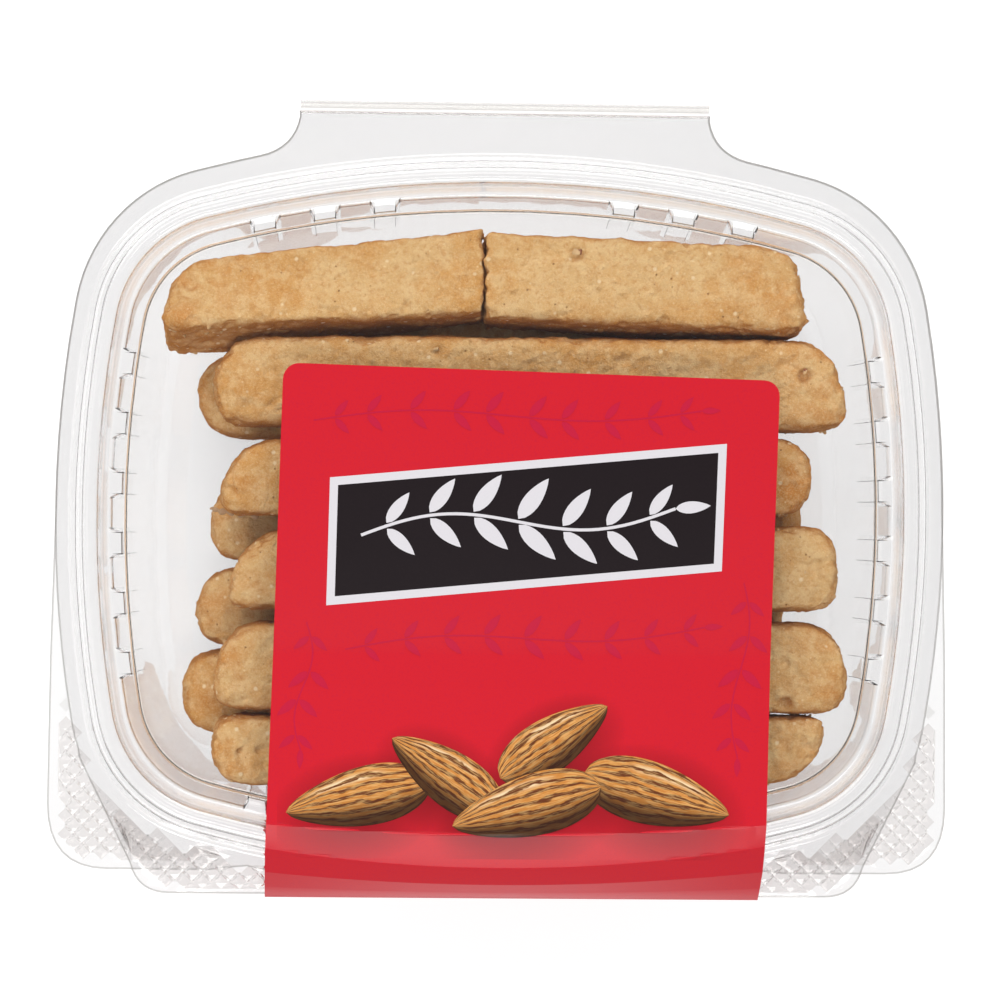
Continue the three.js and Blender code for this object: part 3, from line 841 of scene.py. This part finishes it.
named_pits = {
    # x, y from the box's middle, height, radius, depth
    "biscuit_1_left": [(-0.0654, 0.0488, 0.0400, 0.0034, 0.0010)],
    "biscuit_1_right": [
        (0.0155, 0.0555, 0.0395, 0.0022, 0.0009), (0.0066, 0.0556, 0.0395, 0.0036, 0.0009),
        (0.0100, 0.0550, 0.0395, 0.0030, 0.0007), (0.0654, 0.0423, 0.0310, 0.0016, -0.0016),
    ],
    "biscuit_2": [
        (0.0637, 0.0303, 0.0395, 0.0021, 0.0024), (0.0612, 0.0322, 0.0395, 0.0018, 0.0010),
        (0.0592, 0.0328, 0.0395, 0.0016, 0.0008), (-0.0138, 0.0348, 0.0395, 0.0020, 0.0008),
        (0.0258, 0.0332, 0.0395, 0.0022, 0.0009),
    ],
    "biscuit_5": [
        (0.0604, -0.0386, 0.0380, 0.0022, 0.0024), (0.0601, -0.0304, 0.0395, 0.0016, 0.0009),
        (0.0689, -0.0260, 0.0390, 0.0014, 0.0009),
    ],
    "biscuit_6": [
        (-0.0539, -0.0496, 0.0395, 0.0013, 0.0013), (-0.0493, -0.0492, 0.0395, 0.0012, 0.0010),
        (-0.0478, -0.0493, 0.0395, 0.0010, 0.0010), (0.0604, -0.0471, 0.0390, 0.0018, 0.0012),
    ],
}
# How dark the left and the right end are baked, where it isn't the usual. The third finger's
# right end is darkened much more, as painted shadow of the second finger beside it.
usual_bake = (0.8, 0.8)
named_bake_and_shade = {
    "biscuit_1_left": (1.0, 0), "biscuit_1_right": (0, 0.8), "biscuit_2": (0.5, 1.1),
    "biscuit_3": (0.7, 2.2), "biscuit_4": (0.7, 0.5), "biscuit_6": (0.8, 1.1),
}
layers = [
    # fingers, floor, height, cell of the mesh, pits and crumbs on each
    (upper_fingers, 0.0203, 0.0186, crust_cell, 9, 12),
    (under_fingers, 0.0009, 0.0188, hidden_cell, 5, 0),
]
draw = random.Random(7)
crumb_spots = []
for fingers, floor, height, cell, pit_count, crumb_count in layers:
    for node, (left, right, softness) in fingers.items():
        finger = add_finger(node, floor, height, left, right, softness, cell)
        pits = random_pits(node, draw, pit_count)
        for x, y, z, radius, depth in named_pits.get(node, []):
            pits.append((Vector((x, box_middle + y, z)), radius, depth))
        brown_ends(finger, *named_bake_and_shade.get(node, usual_bake))
        finish_finger(finger, node, pits)
        ends = [vertex.co.copy() for vertex in finger.data.vertices
                if abs(vertex.co.x) > 0.052 and -0.1 < vertex.normal.z < 0.8]
        for spot in draw.sample(ends, min(crumb_count, len(ends))):
            size, turn = draw.uniform(0.00030, 0.00075), draw.uniform(0, 360)
            crumb_spots.append((spot.x, spot.y - box_middle, spot.z, size, turn))


# ------------------------------------------------------------------------------
# The bits of almond in the crust: small chopped pieces, half sunk, with red-brown skin on one
# side and pale flesh on the other.

bit_spots = [
    # x, y from the box's middle, height, size, turn in degrees
    (0.0156, 0.0556, 0.0394, 0.0013, 200), (0.0631, -0.0103, 0.0386, 0.0008, 30),
    (0.0642, -0.0110, 0.0386, 0.0007, 80), (0.0587, 0.0063, 0.0386, 0.0008, 210),
    (0.0649, -0.0422, 0.0381, 0.0007, 20), (-0.0138, 0.0350, 0.0386, 0.0008, 190),
    (0.0637, 0.0313, 0.0388, 0.0008, 250), (-0.0485, -0.0470, 0.0384, 0.0007, 60),
]


def scatter(name, spots, material):
    """Small lumpy chips at the spots, all in one mesh."""
    chips = []
    for x, y, height, size, turn in spots:
        bpy.ops.mesh.primitive_ico_sphere_add(
            subdivisions=3, radius=size, location=(x, box_middle + y, height),
            rotation=(0.4, 0, radians(turn)),
        )
        chip = bpy.context.object
        chip.scale = (1, 0.72, 0.5)
        bpy.ops.object.transform_apply(location=True, rotation=True, scale=True)
        apply_modifier(chip, "DISPLACE", texture=crumb_texture, strength=size * 0.7, mid_level=0.5)
        chips.append(chip)
    whole = join(chips[0], chips[1:])
    whole.name = name
    bpy.ops.object.shade_smooth()
    whole.data.materials.append(material)
    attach(whole, "root")


def bit_material():
    material = plain_material("almond_bit", (0.7, 0.5, 0.3), 0.6)
    place = add_node(material.node_tree, "ShaderNodeTexCoord")
    skin = ranged(noise(place.outputs["Object"], 700, 2), 0.50, 0.56)
    colour = mix_colour(skin, (0.62, 0.41, 0.20), (0.25, 0.075, 0.026))
    feed_colour(material, colour)
    return material


scatter("almond_bits", bit_spots, bit_material())


# ------------------------------------------------------------------------------
# Crumbs of the same dough that cling to the ends of the fingers, and a torn flake of crust that
# hangs at the left end of the third one.

flake_spots = [
    # x, y from the box's middle, height, size, turn in degrees
    (-0.0609, 0.0012, 0.0262, 0.0006, 20), (-0.0600, 0.0009, 0.0266, 0.0009, 350),
    (-0.0586, 0.0005, 0.0270, 0.0011, 10), (-0.0570, 0.0002, 0.0272, 0.0009, 340),
    (-0.0548, -0.0001, 0.0270, 0.0010, 350), (-0.0519, -0.0004, 0.0268, 0.0009, 345),
]
scatter("crumbs", crumb_spots, plain_material("crumb", (0.50, 0.30, 0.13), 0.8))
scatter("torn_flake", flake_spots, plain_material("torn_crust", (0.42, 0.27, 0.15), 0.9))


# ------------------------------------------------------------------------------
# The label: one strip of coated paper, stuck flat on the lid's panel. It rises to the rim, folds
# down over it and over the front tab, and ends on the wall of the tub.

label_width = 0.1024
label_paper = 0.0003
label_gap = 0.0005
label_middle = 0.0059
label_lean = radians(1.45)
label_corner = 0.0033
panel_level = lid_top - 0.0034 + label_gap
crest_level = lid_top + label_gap
label_front = -(front_reach + label_gap)
label_run = [
    # y from the box's middle, height, share of the rim's curve that it follows, ease of the bend
    (0.0300, panel_level, 0, 0),
    (-0.0280, panel_level, 0, 0.006),
    (-0.0650, crest_level + 0.0009, 0.4, 0.0006),
    (-0.0718, crest_level, 0.8, 0.003),
    (-0.0754, lid_top - 0.0024, 0.5, 0.003),
    (-0.0774, lid_top - 0.0062, 0.2, 0.003),
    (label_front, lid_top - 0.0094, 0, 0.0012),
    (label_front, lid_top - 0.0118, 0, 0.0008),
    (label_front + 0.0025, lid_top - 0.0132, 0.1, 0.002),
    (-0.0656, 0.0300, 1, 0.004),
    (-0.0646, 0.0260, 1, 0.002),
    (-0.0608, 0.0075, 1, 0),
]


def label_rows():
    """The label's rows from its top edge down: y, height, curve share, length run, half width."""
    bends = eased(label_run, steps=4)
    start, rest = bends[0], bends[1:]
    round_off = [label_corner * (1 - cos(pi / 2 * step / 6)) for step in range(7)]
    rows = []
    for run in round_off:
        bow = sqrt(label_corner**2 - (label_corner - run) ** 2)
        half = label_width / 2 - label_corner + bow
        rows.append((start.x - run, start.y, start.z, run, half))
    last = Vector((start.x - label_corner, start.y))
    run = label_corner
    for bend in rest:
        run += (bend.xy - last).length
        last = bend.xy
        rows.append((bend.x, bend.y, bend.z, run, label_width / 2))
    return rows


def label_spot(row, across):
    y, height, curve, run, half = row
    x = label_middle - run * tan(label_lean) + across * half
    lean = -across * half * tan(label_lean) * max(0.0, 1 - run / 0.04)
    return Vector((x, box_middle + y + lean + curve * x * x / (2 * end_radius), height))


def print_grain():
    """The fine screen of a printed sheet: small uneven dots, and a height for its gloss."""
    group = bpy.data.node_groups.new("print_grain", "ShaderNodeTree")
    for name, way, kind in (("Colour", "INPUT", "Color"), ("Deep", "INPUT", "Color"),
                            ("Colour", "OUTPUT", "Color"), ("Height", "OUTPUT", "Float")):
        group.interface.new_socket(name=name, in_out=way, socket_type=f"NodeSocket{kind}")
    given = add_node(group, "NodeGroupInput")
    place = add_node(group, "ShaderNodeTexCoord").outputs["Object"]
    dots = ranged(noise(place, 2600, 2), 0.45, 0.75, 0, 0.35)
    colour = mix_colour(dots, given.outputs["Colour"], given.outputs["Deep"])
    add_node(group, "NodeGroupOutput", {"Colour": colour, "Height": noise(place, 45, 2)})
    return group


grain_group = print_grain()


def ink_material(name, colour, deep):
    material = plain_material(name, colour, 0.30, {"Specular IOR Level": 0.3})
    feeds = {"Colour": (*colour, 1), "Deep": (*deep, 1)}
    grain = add_node(material.node_tree, "ShaderNodeGroup", feeds, node_tree=grain_group)
    feed_colour(material, grain.outputs["Colour"])
    feed_height(material, grain.outputs["Height"], 0.25, 0.0004)
    return material


red = (0.645, 0.011, 0.024)
deep_red = (0.53, 0.008, 0.045)
red_ink = ink_material("red_ink", red, deep_red)
ghost_ink = ink_material("ghost_ink", (0.56, 0.010, 0.045), (0.49, 0.008, 0.062))
white_ink = ink_material("white_ink", (0.73, 0.71, 0.75), (0.68, 0.67, 0.72))
black_ink = ink_material("black_ink", (0.010, 0.005, 0.007), (0.016, 0.009, 0.011))


def add_grid(name, columns, rows, place):
    """A grid of faces whose vertices are put where place says for their column and row."""
    bpy.ops.mesh.primitive_grid_add(x_subdivisions=columns, y_subdivisions=rows)
    grid = bpy.context.object
    grid.name = name
    for vertex in grid.data.vertices:
        row, column = divmod(vertex.index, columns + 1)
        vertex.co = place(column, row)
    return grid


label_columns = 24
rows = label_rows()
label = add_grid("wrap_label", label_columns, len(rows) - 1,
                 lambda column, row: label_spot(rows[row], 2 * column / label_columns - 1))
edit_all()
bpy.ops.mesh.flip_normals()
bpy.ops.object.mode_set(mode="OBJECT")
apply_modifier(label, "SOLIDIFY", thickness=label_paper, offset=1)
bpy.ops.object.shade_smooth_by_angle(angle=radians(35))
label.data.materials.append(red_ink)
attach(label, "root")
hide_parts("label")

# The print on the label: flat fields of ink, laid on the paper one over the other.
ink = 0.00002
print_height = lid_top + 0.01


def above_label(spot):
    """The place of a spot in plan, y from the box's middle, before its ink is laid down."""
    return Vector((spot[0], box_middle + spot[1], print_height))


def lay_on_label(piece, layer, material):
    """Lets a flat field of ink down on the label and sets how many inks lie below it."""
    apply_modifier(piece, "SHRINKWRAP", target=label, wrap_method="PROJECT", use_project_z=True,
                   use_negative_direction=True, use_positive_direction=False,
                   offset=ink * (layer + 1), wrap_mode="ABOVE_SURFACE")
    piece.data.materials.append(material)
    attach(piece, "root")


def flat_field(name, corners):
    """A field of ink by its corners: front left, front right, back left, back right."""
    bpy.ops.mesh.primitive_plane_add(size=1)
    field = bpy.context.object
    field.name = name
    for vertex, corner in zip(field.data.vertices, corners):
        vertex.co = above_label(corner)
    return field


# The dark panel is a slanted field: its sides follow the label's, its top and bottom climb.
panel_corners = ((-0.0360, -0.0185), (0.0454, -0.0107), (-0.0355, 0.0078), (0.0462, 0.0156))
panel_border = 0.0017

border = flat_field("label_panel_border", panel_corners)
edit_all()
bpy.ops.mesh.inset(thickness=panel_border)
bpy.ops.mesh.separate(type="SELECTED")
bpy.ops.object.mode_set(mode="OBJECT")
panel = next(piece for piece in bpy.context.selected_objects if piece != border)
panel.name = "label_panel"
lay_on_label(border, 0, white_ink)
lay_on_label(panel, 0, black_ink)

# A plain sprig of leaves in the panel, and faint sprigs on the red round it.
leaf_steps = 10
stem_steps = 36


def ink_strip(spots, halves):
    """A ribbon of ink along a row of spots, with its half width at each."""
    def place(column, row):
        before, after = spots[max(column - 1, 0)], spots[min(column + 1, len(spots) - 1)]
        along = (after - before).normalized()
        off = Vector((-along.y, along.x)) * (row - 1) * halves[column]
        return above_label(spots[column] + off)

    return add_grid("strip", len(spots) - 1, 2, place)


def add_leaf(foot, length, width, turn):
    """One pointed leaf, standing on its foot and turned from the +X axis."""
    ways = [step / leaf_steps for step in range(leaf_steps + 1)]
    along = Vector((cos(turn), sin(turn)))
    halves = [width / 2 * max(0.004, sin(pi * t**0.8)) ** 0.8 for t in ways]
    return ink_strip([foot + along * (length * t) for t in ways], halves)


def add_sprig(name, start, turn, length, pairs, leaf, material):
    """A waving stem, and on it a pair of leaves at each step and one at its tip."""
    turn = radians(turn)
    along = Vector((cos(turn), sin(turn)))
    across = Vector((-along.y, along.x))
    ways = [step / stem_steps for step in range(stem_steps + 1)]
    waves = [across * (0.28 * leaf * sin(2 * pi * t)) for t in ways]
    spots = [Vector(start) + along * (length * t) + wave for t, wave in zip(ways, waves)]
    stem = ink_strip(spots, [leaf * 0.03] * len(spots))
    stem.name = f"{name}_stem"
    lay_on_label(stem, 1, material)
    leaves = [add_leaf(spots[-1], leaf * 0.7, leaf * 0.24, turn)]
    for step in range(pairs):
        foot = spots[round((step + 0.5) / pairs * stem_steps)]
        size = leaf * (1 - 0.25 * abs(2 * step / (pairs - 1) - 1))
        for side in (-1, 1):
            root = foot + across * side * leaf * 0.06
            leaves.append(add_leaf(root, size, size * 0.34, turn + side * 0.84))
    sprig = join(leaves[0], leaves[1:])
    sprig.name = name
    lay_on_label(sprig, 2, material)


add_sprig("label_sprig", (-0.0290, -0.0040), 5.4, 0.065, 7, 0.0104, white_ink)
faint_sprigs = [
    # start, turn, length, pairs
    ((-0.0390, 0.0195), 2, 0.080, 10),
    ((-0.0400, -0.0220), -92, 0.026, 4),
    ((0.0500, -0.0130), -92, 0.036, 5),
    ((-0.0320, -0.0275), 4, 0.074, 9),
]
for number, (start, turn, length, pairs) in enumerate(faint_sprigs):
    add_sprig(f"label_faint_sprig_{number + 1}", start, turn, length, pairs, 0.0056, ghost_ink)


def almond_material():
    """Printed almond skin: golden streaks over brown, dark below, a pale gleam on top."""
    material = plain_material("almond_ink", (0.5, 0.25, 0.08), 0.30, {"Specular IOR Level": 0.3})
    tree = material.node_tree
    place = add_node(tree, "ShaderNodeTexCoord").outputs["UV"]
    split = add_node(tree, "ShaderNodeSeparateXYZ", {0: place})
    along = calculate("FRACT", split.outputs["X"])
    up = split.outputs["Y"]
    stretched = add_node(tree, "ShaderNodeMapping", {"Vector": place, "Scale": (1.5, 1, 1)})
    ridges = add_node(tree, "ShaderNodeTexWave", {
        "Vector": stretched.outputs[0], "Scale": 2.3, "Distortion": 5.0, "Detail": 3.0,
        "Detail Scale": 1.6,
    }, bands_direction="Y")
    streaks = ranged(ridges.outputs["Fac"], 0.28, 0.62)
    drawn_out = add_node(tree, "ShaderNodeMapping", {"Vector": place, "Scale": (9, 38, 1)})
    lines = ranged(noise(drawn_out.outputs[0], 1.0, 3), 0.45, 0.62, 0, 0.5)
    low = ranged(up, 0.10, 0.55, 0.92, 0)
    gleam = streaks
    for value, *limits in (
        (up, 0.74, 0.82),
        (up, 0.84, 0.92, 1, 0),
        (along, 0.25, 0.45),
        (along, 0.70, 0.88, 0.8, 0),
    ):
        gleam = calculate("MULTIPLY", gleam, ranged(value, *limits))
    colour = mix_colour(streaks, (0.15, 0.040, 0.012), (0.62, 0.245, 0.050))
    colour = mix_colour(lines, colour, (0.88, 0.56, 0.22))
    colour = mix_colour(low, colour, (0.028, 0.008, 0.004))
    colour = mix_colour(gleam, colour, (0.95, 0.78, 0.50))
    feed_colour(material, colour)
    return material


almond_ink = almond_material()
almond_columns = 36
almond_rows = 14
almonds = [
    # middle, length, width, turn of the pointed end in degrees
    (Vector((-0.0290, -0.0576)), 0.0300, 0.0120, 192),
    (Vector((0.0110, -0.0461)), 0.0265, 0.0110, 34),
    (Vector((-0.0110, -0.0531)), 0.0270, 0.0112, 146),
    (Vector((0.0320, -0.0566)), 0.0310, 0.0128, -15),
    (Vector((0.0055, -0.0592)), 0.0315, 0.0125, 195),
]


def almond_half_width(t, width):
    """Half the width of an almond at t, from its round end at 0 to its pointed end at 1."""
    return width / 2 * sin(pi * min(1.0, t) ** 0.78) ** 0.62 * (1.06 - 0.12 * t)


def shade_material():
    """Printed soft shade: the red ink, darker where the field's own shade is strong."""
    material = ink_material("shade_ink", red, deep_red)
    tree = material.node_tree
    ink_colour = tree.nodes["Principled BSDF"].inputs["Base Color"].links[0].from_socket
    shade = add_node(tree, "ShaderNodeAttribute", attribute_name="shade").outputs["Fac"]
    feed_colour(material, mix_colour(shade, ink_colour, (0.055, 0.002, 0.004)))
    return material


# The shade under the almonds: one field, darkest close below each almond.
shade_columns = 110
shade_rows = 44
shade_low, shade_high = Vector((-0.0455, -0.0700)), Vector((0.0525, -0.0350))
shade_drop = Vector((0, 0.0022))


def shade_spot(column, row):
    size = shade_high - shade_low
    share = Vector((size.x * column / shade_columns, size.y * row / shade_rows))
    return above_label(shade_low + share)


def shade_at(spot):
    """How dark the print is at a spot in plan."""
    light = 1.0
    for middle, length, width, turn in almonds:
        local = Matrix.Rotation(radians(-turn), 2) @ (spot - middle + shade_drop)
        reach = hypot(local.x / (0.62 * length), local.y / (0.95 * width))
        light *= 1 - 0.75 * max(0.0, 1 - reach) ** 0.8
    return 1 - light


shade = add_grid("label_shade", shade_columns, shade_rows, shade_spot)
strength = shade.data.attributes.new("shade", "FLOAT", "POINT")
for mark, vertex in zip(strength.data, shade.data.vertices):
    mark.value = shade_at(vertex.co.xy - Vector((0, box_middle)))
lay_on_label(shade, 0, shade_material())


def add_almond(number, middle, length, width, turn):
    turned = Matrix.Rotation(radians(turn), 2)
    upside = 1 if cos(radians(turn)) > 0 else -1

    def place(column, row):
        t = column / almond_columns
        across = (2 * row / almond_rows - 1) * upside * almond_half_width(t, width)
        return above_label(middle + turned @ Vector((length * (t - 0.5), across)))

    almond = add_grid(f"label_almond_{number}", almond_columns, almond_rows, place)
    for corner in almond.data.uv_layers.active.data:
        corner.uv.x = 0.02 + 0.96 * corner.uv.x + number - 1
    edit_all()
    bpy.ops.mesh.normals_make_consistent(inside=False)
    bpy.ops.object.mode_set(mode="OBJECT")
    lay_on_label(almond, number, almond_ink)


for number, (middle, length, width, turn) in enumerate(almonds, start=1):
    add_almond(number, middle, length, width, turn)
